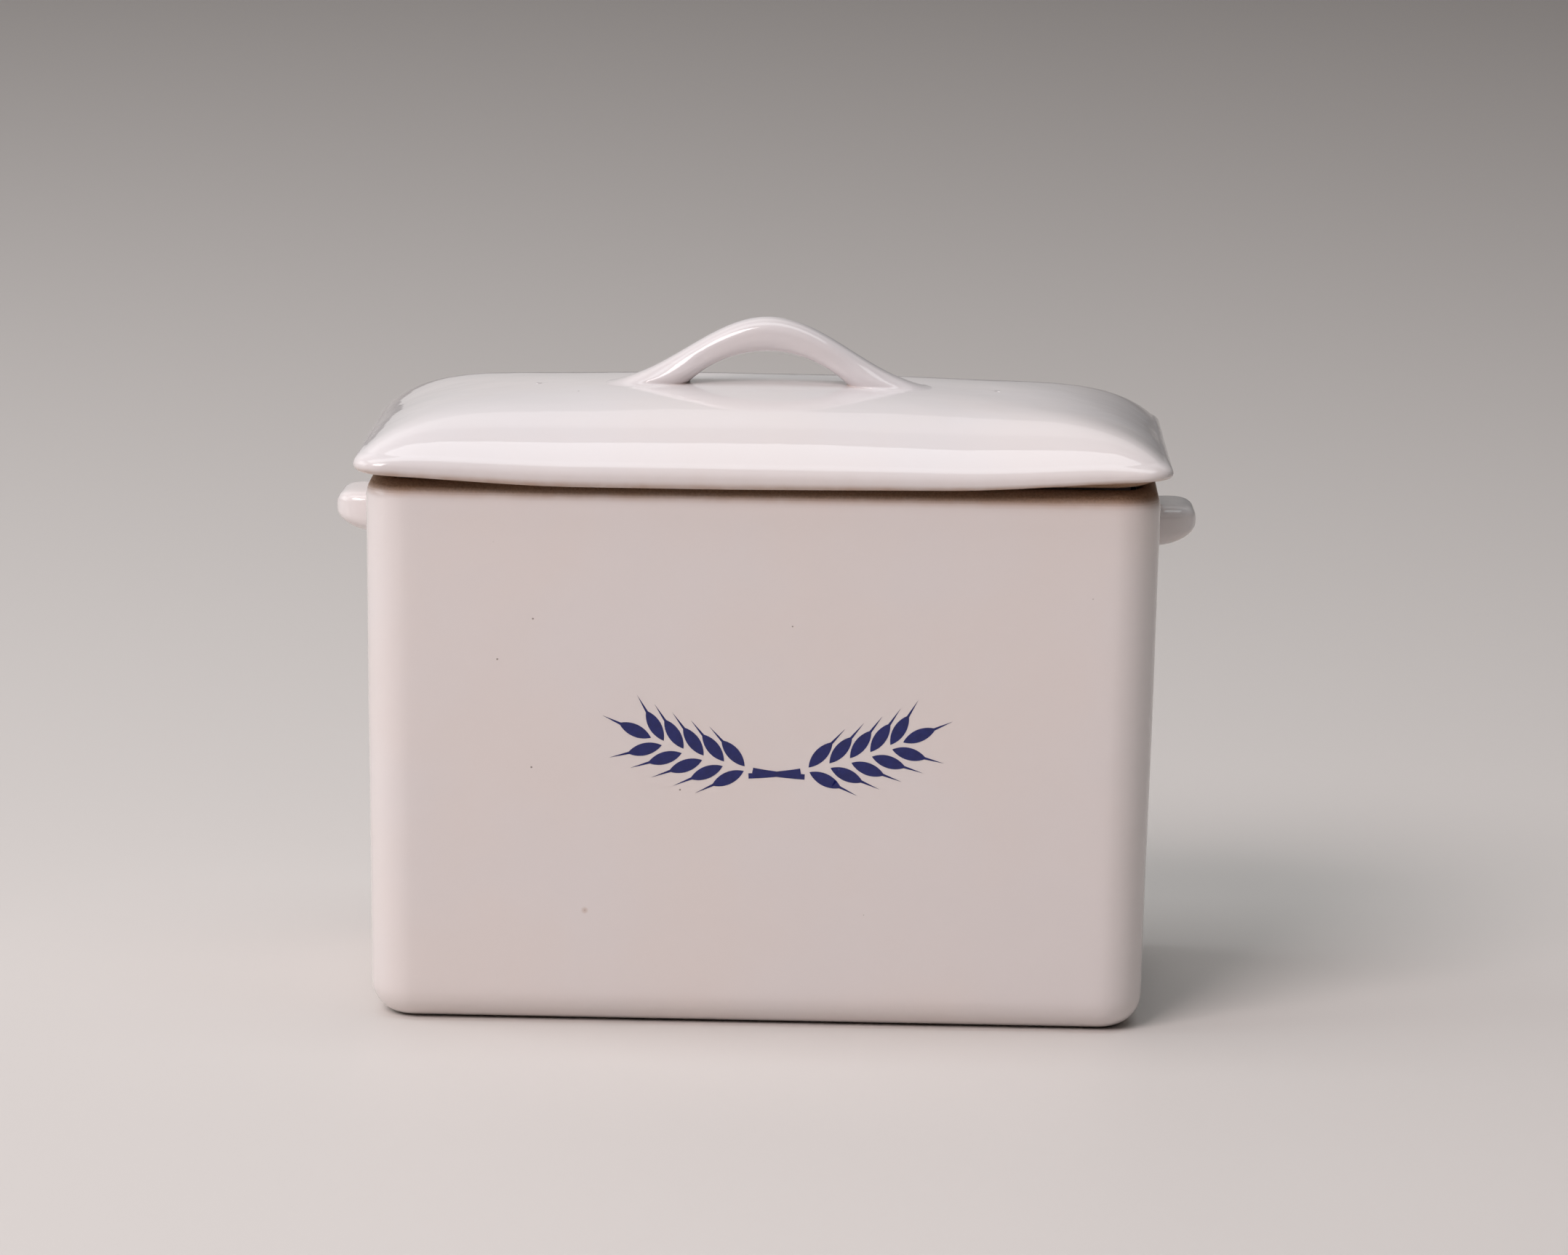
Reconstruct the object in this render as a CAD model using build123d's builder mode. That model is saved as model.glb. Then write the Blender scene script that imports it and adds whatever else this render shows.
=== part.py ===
from build123d import *
import os
from math import atan2, cos, degrees, radians, sin, tan

# A small glazed ceramic bread bin: a cast box with two luted-on ears, and a loose
# domed lid with a luted-on strap handle.
# Millimetres. Origin: the middle of the base. +Z is up, the front faces -Y.

os.makedirs("parts", exist_ok=True)

# ---------------------------------------------------------------- driving dimensions

# bin
body_width = 130.0  # outside, at the rim
body_depth = 70.0  # outside, at the rim
body_height = 90.5
wall_thickness = 4.2
floor_thickness = 4.5
draft_angle = 0.8  # degrees; the walls lean in towards the base
corner_radius = 5.5  # upright corners, outside
cavity_corner_radius = 4.0  # upright corners, inside
base_edge_radius = 4.5
cavity_floor_radius = 5.0
rim_outer_radius = 2.4
rim_inner_radius = 1.2

# ears on the two ends
ear_projection = 7.0
ear_root_depth = 0.8  # of the ear's axis inside the wall
ear_top = 84.0
ear_outer_z = 80.6  # height of the outermost point
ear_bottom = 76.2  # where the underside meets the wall
ear_underside_belly = 1.1

# lid
lid_width = 133.5
lid_depth = 74.6
lid_gap = 0.25  # between the rim of the bin and the seat under the lid
lid_edge_thickness = 2.8
lid_top = 101.8
lid_wall = 3.4
lid_edge_radius = 1.1
flange_depth = 4.8
flange_thickness = 3.2
flange_clearance = 0.8  # each side, inside the mouth of the bin
flange_corner_radius = 3.5
hollow_edge_rise = 1.0  # upright part of the hollow above the edge of the lid

# strap handle on the lid
strap_top = 113.5
strap_thickness = 5.4  # at the crown of the arch
strap_depth = 7.0  # along Y
strap_half_span = 29.5
opening_half_width = 13.0
strap_edge_radius = 1.8
strap_root_depth = 1.6  # how far the feet start below the crown of the lid

# wheat-ear decoration on the front, a flat ceramic transfer
motif_centre_x = 3.0
motif_centre_z = 47.6
motif_thickness = 0.3
stalk_start = (-4.6, -5.2)  # the right-hand stalk, from the middle of the decoration
stalk_middle = (8.0, -3.4)
stalk_end = (20.6, 0.9)
stalk_width = 0.9
grain_length = 5.8
grain_width = 2.05
grain_rows = 5
grain_pitch = 3.5
grain_splay = 37.0  # degrees from the line of the stalk
grain_gap = 0.4  # from the line of the stalk to the base of a grain
first_grain = 0.6  # pitches from the tip of the stalk to the nearest pair
awn_width = 0.5
awn_length = 3.0
awn_lap = 1.0  # overlap of an awn with the tip of its grain

# ---------------------------------------------------------------- worked out from them

draft_slope = tan(radians(draft_angle))
mouth_width = body_width - 2 * wall_thickness
mouth_depth = body_depth - 2 * wall_thickness

seat_z = body_height + lid_gap
lid_edge_top = seat_z + lid_edge_thickness
flange_width = mouth_width - 2 * flange_clearance
flange_breadth = mouth_depth - 2 * flange_clearance
hollow_width = flange_width - 2 * flange_thickness
hollow_breadth = flange_breadth - 2 * flange_thickness

# The top of the lid, as (inset from the edge, share of the rise, corner radius): a quick
# round shoulder, then a long, nearly flat crown.
lid_profile = (
    (0.0, 0.0, 4.0),
    (3.5, 0.40, 5.0),
    (9.0, 0.74, 7.0),
    (17.0, 0.92, 9.0),
    (27.0, 1.0, 9.5),
)
# The same under the lid, from the inside of the flange.
hollow_profile = (
    (0.0, 0.0, 3.0),
    (3.0, 0.60, 5.0),
    (9.0, 0.90, 7.0),
    (17.0, 1.0, 8.0),
)


def heading_at(curve, share):
    """Direction of a curve at a share of its length, in degrees from local X."""
    tangent = curve % share
    return degrees(atan2(tangent.Y, tangent.X))


def half_width_at(z):
    """Half the outside width of the bin at a height."""
    return body_width / 2 - (body_height - z) * draft_slope


def half_depth_at(z):
    """Half the outside depth of the bin at a height."""
    return body_depth / 2 - (body_height - z) * draft_slope


def pillow(width, depth, z_base, z_edge, z_crown, profile):
    """A rounded block with a soft pillow-shaped top."""
    with BuildPart() as block:
        with BuildSketch(Plane.XY.offset(z_base)):
            RectangleRounded(width, depth, profile[0][2])
        extrude(amount=z_edge - z_base)
        for inset, share, corner in profile:
            with BuildSketch(Plane.XY.offset(z_edge + share * (z_crown - z_edge))):
                RectangleRounded(width - 2 * inset, depth - 2 * inset, corner)
        loft()
    return block.part


# ---------------------------------------------------------------- bin

with BuildPart() as bin_body:
    with BuildSketch(Plane.XY.offset(body_height)):
        RectangleRounded(body_width, body_depth, corner_radius)
    extrude(amount=-body_height, taper=draft_angle)
    fillet(bin_body.faces().sort_by(Axis.Z)[0].edges(), base_edge_radius)
    with BuildSketch(Plane.XY.offset(body_height)):
        RectangleRounded(mouth_width, mouth_depth, cavity_corner_radius)
    extrude(amount=floor_thickness - body_height, taper=draft_angle, mode=Mode.SUBTRACT)
    cavity_floor = bin_body.faces().filter_by(Plane.XY).sort_by(Axis.Z)[1]
    fillet(cavity_floor.edges(), cavity_floor_radius)
    rim = bin_body.faces().sort_by(Axis.Z)[-1]
    rim_outer_edges = rim.outer_wire().edges()
    rim_inner_edges = rim.inner_wires()[0].edges()
    fillet(rim_outer_edges, rim_outer_radius)
    fillet(rim_inner_edges, rim_inner_radius)

# ---------------------------------------------------------------- ears

ear_axis_x = half_width_at(ear_outer_z) - ear_root_depth
ear_reach = ear_projection + ear_root_depth

# Half a turned shape: flat on top, a round nose, and an underside that slants back to the
# wall. Its upright axis lies just inside the wall.
with BuildPart() as side_handle_right:
    with BuildSketch(Plane.YZ.offset(ear_axis_x)):
        with BuildLine():
            root = Line((0, ear_bottom), (0, ear_top))
            top = Line(root @ 1, (-0.5 * ear_reach, ear_top))
            nose = TangentArc(top @ 1, (-ear_reach, ear_outer_z), tangent=(-1, 0))
            Spline(
                nose @ 1,
                (-0.6 * ear_reach, ear_bottom + ear_underside_belly),
                root @ 0,
                tangents=[nose % 1, (1, -0.2)],
            )
        make_face()
    revolve(axis=Axis((ear_axis_x, 0, 0), (0, 0, 1)), revolution_arc=180)
    add(bin_body.part, mode=Mode.SUBTRACT)

with BuildPart() as side_handle_left:
    mirror(side_handle_right.part, about=Plane.YZ)

# ---------------------------------------------------------------- lid

lid_block = pillow(lid_width, lid_depth, seat_z, lid_edge_top, lid_top, lid_profile)
lid_hollow = pillow(
    hollow_width,
    hollow_breadth,
    seat_z - flange_depth,
    lid_edge_top + hollow_edge_rise,
    lid_top - lid_wall,
    hollow_profile,
)

with BuildPart() as lid:
    add(lid_block)
    edge_face_rims = lid.edges().filter_by_position(Axis.Z, seat_z - lid_gap, lid_edge_top + lid_gap)
    fillet(edge_face_rims.filter_by(Axis.Z, reverse=True), lid_edge_radius)
    with BuildSketch(Plane.XY.offset(seat_z)):
        RectangleRounded(flange_width, flange_breadth, flange_corner_radius)
    extrude(amount=-flange_depth)
    add(lid_hollow, mode=Mode.SUBTRACT)

# ---------------------------------------------------------------- lid handle

arch_top = strap_top - strap_thickness
arch_height = arch_top - lid_top
arch_radius = (opening_half_width**2 + arch_height**2) / (2 * arch_height)
strap_root_z = lid_top - strap_root_depth
arch_centre_z = arch_top - arch_radius
root_half_width = (arch_radius**2 - (strap_root_z - arch_centre_z) ** 2) ** 0.5
strap_rise = strap_top - lid_top

with BuildPart() as lid_handle:
    with BuildSketch(Plane.XZ):
        with BuildLine():
            foot = Line((root_half_width, strap_root_z), (strap_half_span, strap_root_z))
            toe = Line(foot @ 1, (strap_half_span, lid_top))
            outside = Spline(
                toe @ 1,
                (0.68 * strap_half_span, lid_top + 0.32 * strap_rise),
                (0.41 * strap_half_span, lid_top + 0.72 * strap_rise),
                (0, strap_top),
                tangents=[(-1, 0.25), (-1, 0)],
            )
            crown = Line(outside @ 1, (0, arch_top))
            TangentArc(crown @ 1, foot @ 0, tangent=(1, 0))
        make_face()
        mirror(about=Plane.YZ)
    extrude(amount=strap_depth / 2, both=True)
    side_faces = lid_handle.faces().filter_by(Plane.XZ)
    long_edges = side_faces.edges().filter_by(GeomType.LINE, reverse=True)
    fillet(long_edges, strap_edge_radius)
    add(lid.part, mode=Mode.SUBTRACT)

# ---------------------------------------------------------------- front decoration

# Two ears of wheat lying heads outward, their stalks crossing in the middle. Drawn for the
# right-hand ear about the middle of the decoration, then mirrored.
front_face_plane = Plane(
    origin=(motif_centre_x, -half_depth_at(motif_centre_z), motif_centre_z),
    x_dir=(1, 0, 0),
    z_dir=(0, -cos(radians(draft_angle)), -sin(radians(draft_angle))),
)

with BuildLine():
    stalk = ThreePointArc(stalk_start, stalk_middle, stalk_end)

# a grain with its awn: a pointed oval from two equal arcs, its base on the origin, and a spike
with BuildSketch() as grain:
    with BuildLine():
        upper = ThreePointArc((0, 0), (grain_length / 2, grain_width / 2), (grain_length, 0))
        ThreePointArc(upper @ 1, (grain_length / 2, -grain_width / 2), upper @ 0)
    make_face()
    with BuildLine():
        Polyline(
            (grain_length - awn_lap, awn_width / 2),
            (grain_length + awn_length, 0),
            (grain_length - awn_lap, -awn_width / 2),
            close=True,
        )
    make_face()

# one grain on the tip of the stalk, then pairs turned out to either side of it
grain_bases = [Location(stalk @ 1, heading_at(stalk, 1))]
for row in range(grain_rows):
    share = 1 - (row + first_grain) * grain_pitch / stalk.length
    heading = heading_at(stalk, share)
    for side in (-1, 1):
        across = Vector(0, side * grain_gap).rotate(Axis.Z, heading)
        grain_bases.append(Location(stalk @ share + across, heading + side * grain_splay))
bare_stalk = stalk.trim(0, 1 - grain_rows * grain_pitch / stalk.length)

with BuildPart() as front_motif:
    with BuildSketch(front_face_plane):
        trace(bare_stalk, line_width=stalk_width)
        with Locations(*grain_bases):
            add(grain.sketch)
        mirror(about=Plane.YZ)
    extrude(amount=motif_thickness)

# ---------------------------------------------------------------- files

pieces = {
    "bin_body": bin_body,
    "side_handle_left": side_handle_left,
    "side_handle_right": side_handle_right,
    "lid": lid,
    "lid_handle": lid_handle,
    "front_motif": front_motif,
}
for name, piece in pieces.items():
    piece.part.label = name
    export_step(piece.part, f"parts/{name}.step")
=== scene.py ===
import math

import bmesh
import bpy
import numpy as np
from mathutils import Matrix, Vector


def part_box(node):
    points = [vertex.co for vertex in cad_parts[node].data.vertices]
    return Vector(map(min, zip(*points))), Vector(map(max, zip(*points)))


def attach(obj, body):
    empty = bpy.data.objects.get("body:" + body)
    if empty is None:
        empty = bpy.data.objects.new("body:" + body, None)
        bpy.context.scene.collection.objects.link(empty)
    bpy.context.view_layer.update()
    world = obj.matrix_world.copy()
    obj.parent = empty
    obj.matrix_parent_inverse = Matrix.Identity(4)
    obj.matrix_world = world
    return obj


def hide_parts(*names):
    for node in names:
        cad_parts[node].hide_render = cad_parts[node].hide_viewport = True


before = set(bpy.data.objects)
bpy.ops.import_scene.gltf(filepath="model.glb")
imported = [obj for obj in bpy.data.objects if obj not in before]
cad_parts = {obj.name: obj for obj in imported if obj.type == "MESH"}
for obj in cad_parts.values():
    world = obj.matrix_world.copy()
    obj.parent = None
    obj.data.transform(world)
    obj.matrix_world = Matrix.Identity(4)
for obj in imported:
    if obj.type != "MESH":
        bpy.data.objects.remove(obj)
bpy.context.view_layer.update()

# A small glazed ceramic bread bin. All shapes below are worked out in millimetres in the CAD's
# frame: the origin in the middle of the base, +Z up, the front facing -Y.
MM = 0.001


def box_mm(node):
    """Lowest and highest corner of a CAD node, in millimetres."""
    low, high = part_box(node)
    return np.array(low) / MM, np.array(high) / MM


# ------------------------------------------------------------------ sizes from the frame

_, bin_high = box_mm("bin_body")
_, lid_high = box_mm("lid")
_, strap_high = box_mm("lid_handle")
ear_low, ear_high = box_mm("side_handle_right")

# ------------------------------------------------------------------ bin

BIN_HEIGHT = bin_high[2]
DRAFT = math.tan(math.radians(0.8))
CORNER_RADIUS = 7.5
SHARPEST_CORNER = 1.0  # the least corner radius of any ring
BASE_EDGE_RADIUS = 5.5
WALL = 4.2
RIM_OUTER_RISE, RIM_OUTER_INSET = 3.8, 2.9
RIM_INNER_RADIUS = 1.2
RIM_INNER_CORNER_SHARE = 0.5  # how much of its inset a ring round the rim takes off its corners
FLOOR = 4.5
FLOOR_RADIUS = 5.0
CAVITY_CORNER_RADIUS = 4.0
FOOT_OUTER, FOOT_INNER = 6.0, 12.5  # insets of the flat ring that the bin stands on
FOOT_RECESS = 0.6
WALL_BOW = 0.30  # the cast walls have sunk in a little as they dried
END_BOW = 0.20
WALL_WAVE = 0.05

# inset, height and bareness of the rings underneath, from the recess to the edge of the foot
FOOT_PROFILE = (
    (FOOT_INNER + 2.2, FOOT_RECESS, 0.0),
    (FOOT_INNER + 1.2, FOOT_RECESS * 0.9, 0.0),
    (FOOT_INNER + 0.5, FOOT_RECESS * 0.35, 0.3),
    (FOOT_INNER, 0.0, 1.0),
    (FOOT_INNER - 0.6, 0.0, 1.0),
    (FOOT_OUTER, 0.0, 1.0),
)

# where the glaze ends and begins: heights over the table, then depths under the top of the rim
FOOT_WIPED = (0.05, 0.35)
# outside, the bare clay reaches down into the lid's shadow: partly a wiped rim, partly painted shade
RIM_BARE_AND_SHADE_OUTSIDE = (2.3, 1.3)
RIM_WIPED_INSIDE = (1.0, 0.4)
FOOT_THIN = 0.25
RIM_THIN_AND_SHADE = (0.12, 0.62)  # shares of the rim's rise between which its glaze goes thin and brown: painted shade under the lid's edge

BASE_EDGE_STEPS, WALL_STEPS, RIM_OUTER_STEPS = 9, 26, 8
RIM_INNER_STEPS, CAVITY_STEPS, FLOOR_EDGE_STEPS = 5, 22, 8

# ------------------------------------------------------------------ lid

SEAT_Z = BIN_HEIGHT + 0.25
SLOPE_START_Z = SEAT_Z + 1.55  # where the curve of the top meets the line of the edge
SLOPE_RISE = 7.9
SLOPE_REACH_END, SLOPE_REACH_SIDE = 7.7, 6.7  # how far in the top rises from the ends and the sides
HIP_POWER = 2.6  # how sharp the corners between two slopes are; 2 is round
CROWN = 2.35
LID_WAVE = 0.045
LID_CORNER_RADIUS = 5.5
LID_SIDE_PULL = 0.45  # the long edges are drawn in a little between the corners
LID_END_PULL = 0.2 * LID_SIDE_PULL
LIFT_LEFT, LIFT_RIGHT = 1.3, 1.9  # the front corners of the lid warped upwards in the kiln
LIFT_BACK = 0.2
LIFT_TURNOVER = 20  # the lift goes from left to right within this distance of the middle
LIFT_REACH = (30, 70)  # distances from the middle where a corner starts to lift and is fully up

# rings of the top, far apart on the crown and closer down the slope, to the start of the edge
EDGE_INSET = 1.5
TOP_INSETS = np.concatenate([np.linspace(30, 9, 16), np.geomspace(8, EDGE_INSET, 13)])
TOP_CORNER_GROWTH = 0.10  # how much a corner of the top rounds for each millimetre of inset

EDGE_TILT = math.radians(45)  # how steep the slope is taken to be where the rounding starts
EDGE_LOWER_RADIUS = 0.85
EDGE_LOWER_INSET = 1.3
EDGE_UPPER_POINTS, EDGE_LOWER_STEPS = 8, 7
EDGE_THIN = 0.15
# below the widest line the lip goes brown fast: thin glaze and painted shade on its underside
EDGE_THIN_AND_SHADE_BY, EDGE_WIPED = 0.9, (1.2, 1.5)  # turns below the widest line, in radians

LIP_SAG = 0.75  # how far the edge of the long sides hangs below the seat, most at the left
SAG_FADE = (-15, 60)  # from left to right
SAG_LEFT_LOSS, SAG_LEFT = 0.3, (30, 66)  # it is less towards the left corner
SAG_SIDES = (22, 34)  # distances from the middle between which the sag sets in
LIP_FULLNESS = 0.85  # how much thicker the lip is for each millimetre of sag

SEAT_INNER = 5.6
SEAT_INSETS = (1.8, 2.4, 3.0, 3.6, 4.4, SEAT_INNER)
SEAT_SAG_FADE = (1.6, 3.4)  # insets between which the seat loses the sag
SEAT_WARP_FADE = (1.2, SEAT_INNER)  # and the warp

FLANGE_HALF = (60.0, 30.0)
FLANGE_CORNER = 3.5
FLANGE_THICKNESS = 3.2
FLANGE_DEPTH = 4.8
FLANGE_FOOT_Z = SEAT_Z - FLANGE_DEPTH
LID_WALL = 3.4
HOLLOW_START = 1.0  # height over the seat where the hollow begins to close in
HOLLOW_SHOULDER = 16.0
HOLLOW_CORNER_GROWTH = 5.5
HOLLOW_FULLNESS = 0.9
HOLLOW_STEPS = 14

# inset, height and bareness of the rings of the flange, down its outside and up its inside
FLANGE_PROFILE = (
    (-0.35, SEAT_Z, 0.9),
    (-0.08, SEAT_Z - 0.12, 0.5),
    (0.0, SEAT_Z - 0.5, 0.0),
    (0.0, SEAT_Z - 2.4, 0.0),
    (0.0, FLANGE_FOOT_Z + 1.0, 0.0),
    (0.25, FLANGE_FOOT_Z + 0.3, 0.0),
    (0.9, FLANGE_FOOT_Z, 0.0),
    (FLANGE_THICKNESS - 0.9, FLANGE_FOOT_Z, 0.0),
    (FLANGE_THICKNESS - 0.25, FLANGE_FOOT_Z + 0.3, 0.0),
    (FLANGE_THICKNESS, FLANGE_FOOT_Z + 1.0, 0.0),
    (FLANGE_THICKNESS, SEAT_Z - 1.0, 0.0),
    (FLANGE_THICKNESS, SEAT_Z + HOLLOW_START, 0.0),
)

# ------------------------------------------------------------------ mesh tools

CORNER_STEPS = 12
LONG_STEPS = 44
SHORT_STEPS = 24


def rounded_outline(half_x, half_y, radius):
    """Points and outward normals of a rounded rectangle, starting halfway round its front left corner."""
    centres = np.array([(-1, -1), (1, -1), (1, 1), (-1, 1)]) * (half_x - radius, half_y - radius)
    half_corner = np.arange(CORNER_STEPS // 2) / (CORNER_STEPS // 2)
    points, normals = [], []
    for side in range(4):
        start = 225 + 90 * side
        steps = LONG_STEPS if side % 2 == 0 else SHORT_STEPS
        near, far = centres[side], centres[(side + 1) % 4]
        corners = ((near, start + 45 * half_corner), (far, start + 45 + 45 * half_corner))
        for centre, angles in corners:
            turn = np.radians(angles)
            direction = np.stack([np.cos(turn), np.sin(turn)], 1)
            if centre is far:
                middle = math.radians(start + 45)
                flat = np.array([math.cos(middle), math.sin(middle)])
                along = (np.arange(steps) / steps)[:, None]
                points.append(near + (far - near) * along + radius * flat)
                normals.append(np.repeat(flat[None], steps, 0))
            points.append(centre + radius * direction)
            normals.append(direction)
    return np.concatenate(points), np.concatenate(normals)


class Skin:
    """A closed mesh of quads: rings of equal length joined up, with a grid across each end."""

    def __init__(self, long_side, short_side):
        self.long_side, self.short_side = long_side, short_side
        self.points, self.faces, self.marks = [], [], {"thin": [], "bare": []}
        self.count = 0
        self.first = self.last = None

    def _store(self, points, **marks):
        self.points.append(np.asarray(points, float))
        for key, values in self.marks.items():
            values.append(np.broadcast_to(marks.get(key, 0.0), len(points)))
        first = self.count
        self.count += len(points)
        return np.arange(first, self.count)

    def ring(self, points, **marks):
        """Joins one more ring of points to the last one."""
        ring = self._store(points, **marks)
        if self.last is None:
            self.first = ring
        else:
            onward, up = np.roll(self.last, -1), np.roll(ring, -1)
            self.faces += np.stack([self.last, onward, up, ring], 1).tolist()
        self.last = ring

    def cap(self, ring, height=None, flip=False, **marks):
        """Fills a ring with a grid of quads; height gives z from x and y, else it is interpolated."""
        a, b = self.long_side, self.short_side
        where = np.concatenate(self.points)[ring]
        grid = np.zeros((a + 1, b + 1), int)
        grid[:, 0] = ring[: a + 1]
        grid[a, :] = ring[a : a + b + 1]
        grid[::-1, b] = ring[a + b : 2 * a + b + 1]
        grid[0, ::-1] = np.append(ring[2 * a + b :], ring[0])
        front, back = where[: a + 1], where[a + b : 2 * a + b + 1][::-1]
        right = where[a : a + b + 1]
        left = np.concatenate([where[2 * a + b :], where[:1]])[::-1]
        u = (np.arange(a + 1) / a)[:, None, None]
        v = (np.arange(b + 1) / b)[None, :, None]
        sides = (1 - v) * front[:, None] + v * back[:, None] + (1 - u) * left[None] + u * right[None]
        corners = (1 - u) * (1 - v) * front[0] + u * (1 - v) * front[-1]
        corners = corners + (1 - u) * v * back[0] + u * v * back[-1]
        inside = (sides - corners)[1:-1, 1:-1].reshape(-1, 3)
        if height is not None:
            inside[:, 2] = height(inside[:, 0], inside[:, 1])
        grid[1:-1, 1:-1] = self._store(inside, **marks).reshape(a - 1, b - 1)
        quads = np.stack([grid[:-1, :-1], grid[1:, :-1], grid[1:, 1:], grid[:-1, 1:]], -1)
        quads = quads.reshape(-1, 4)
        if flip:
            quads = quads[:, ::-1]
        self.faces += quads.tolist()

    def turn_over(self):
        """Makes every face look the other way."""
        self.faces = [face[::-1] for face in self.faces]

    def build(self, name, body, slot, material, *nodes, smooth_levels=1):
        """Makes the object, rides it on its body and lets it stand for its CAD nodes."""
        mesh = bpy.data.meshes.new(name)
        mesh.from_pydata((np.concatenate(self.points) * MM).tolist(), [], self.faces)
        mesh.validate()
        mesh.shade_smooth()
        for key, values in self.marks.items():
            attribute = mesh.attributes.new(key, "FLOAT", "POINT")
            attribute.data.foreach_set("value", np.concatenate(values).astype(np.float32))
        piece = bpy.data.objects.new(name, mesh)
        bpy.context.scene.collection.objects.link(piece)
        mesh.materials.append(material)
        if smooth_levels:
            subdivision = piece.modifiers.new("smooth", "SUBSURF")
            subdivision.levels = subdivision.render_levels = smooth_levels
        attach(piece, body)
        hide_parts(*nodes)
        return piece


def quarter(steps):
    """Angles over a quarter turn, in radians."""
    return np.linspace(0.0, math.pi / 2, steps + 1)


def ease(value, low, high):
    """A smooth step from 0 at low to 1 at high."""
    t = np.clip((np.asarray(value, float) - low) / (high - low), 0, 1)
    return t * t * (3 - 2 * t)


def wave(value, pace, start):
    """A slow wave between -1 and 1: pace in radians for each millimetre, start in radians."""
    return np.sin(pace * value + start)


# ------------------------------------------------------------------ materials

WARM_CAST, COOL_CAST = (1.0, 0.987, 0.972), (0.992, 0.998, 1.0)  # the faint clouds in the glaze
# warm brown of thin glaze at edges; the same colour is painted shade under the lid's edge, under the arch
# of the handle and under the ears
THIN_GLAZE_AND_SHADE_COLOUR, THIN_GLAZE_AND_SHADE_SHARE = (0.44, 0.265, 0.165, 1), 0.75
SPECK_COLOUR, SPECK_SHARE = (0.16, 0.11, 0.08, 1), 0.75
SPECK_CELLS = 165  # cells for each metre; only a few of them hold a speck
SPECK_CHOSEN = (0.80, 0.84)
SPECK_RADIUS = (0.018, 0.034)  # in cells
PIT_COLOUR, PIT_SHARE = (0.07, 0.045, 0.03, 1), 0.9
PIT_RADIUS, PIT_HALO_RADIUS, PIT_HALO_SHARE = (0.00022, 0.0004), (0.0003, 0.0008), 0.4
# bare clay, darker than the clay itself: painted shade for the deep gap under the lid's edge
CLAY_AND_SHADE_DARK, CLAY_AND_SHADE_LIGHT = (0.23, 0.135, 0.08, 1), (0.33, 0.205, 0.13, 1)
GLAZE_ROUGHNESS = (0.022, 0.055)
THIN_ROUGHNESS, BARE_ROUGHNESS = 0.10, 0.75  # these are added
GLAZE_IOR = 1.52
INK_DARK, INK_LIGHT = (0.0060, 0.0100, 0.105, 1), (0.0090, 0.0150, 0.140, 1)
INK_ROUGHNESS = (0.14, 0.26)


class Nodes:
    """Short calls for building a material's node tree."""

    def __init__(self, name):
        self.material = bpy.data.materials.new(name)
        self.material.use_nodes = True
        self.tree = self.material.node_tree
        self.shader = self.tree.nodes["Principled BSDF"]
        self.place = self.add("ShaderNodeTexCoord").outputs["Object"]

    def add(self, kind, inputs=(), **settings):
        node = self.tree.nodes.new(kind)
        for key, value in settings.items():
            setattr(node, key, value)
        for key, value in dict(inputs).items():
            self.put(value, node.inputs[key])
        return node

    def put(self, value, socket):
        if isinstance(value, bpy.types.NodeSocket):
            self.tree.links.new(value, socket)
        else:
            socket.default_value = value

    def noise(self, scale, detail=2.0, roughness=0.5):
        inputs = {"Vector": self.place, "Scale": scale, "Detail": detail, "Roughness": roughness}
        return self.add("ShaderNodeTexNoise", inputs).outputs["Fac"]

    def math(self, operation, a, b=0.0, clamp=False):
        node = self.add("ShaderNodeMath", {0: a, 1: b}, operation=operation, use_clamp=clamp)
        return node.outputs[0]

    def spread(self, value, low, high, to_low=0.0, to_high=1.0):
        inputs = {"Value": value, "From Min": low, "From Max": high, "To Min": to_low, "To Max": to_high}
        node = self.add("ShaderNodeMapRange", inputs, interpolation_type="SMOOTHSTEP")
        return node.outputs["Result"]

    def mix(self, share, a, b):
        node = self.add("ShaderNodeMix", data_type="RGBA")
        for name, value in (("Factor_Float", share), ("A_Color", a), ("B_Color", b)):
            socket = next(s for s in node.inputs if s.identifier == name)
            self.put(value, socket)
        return next(s for s in node.outputs if s.identifier == "Result_Color")

    def mark(self, name):
        return self.add("ShaderNodeAttribute", attribute_name=name).outputs["Fac"]

    def bump(self, height, distance, strength=1.0, normal=None):
        inputs = {"Height": height, "Distance": distance, "Strength": strength}
        if normal is not None:
            inputs["Normal"] = normal
        return self.add("ShaderNodeBump", inputs).outputs["Normal"]


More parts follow.
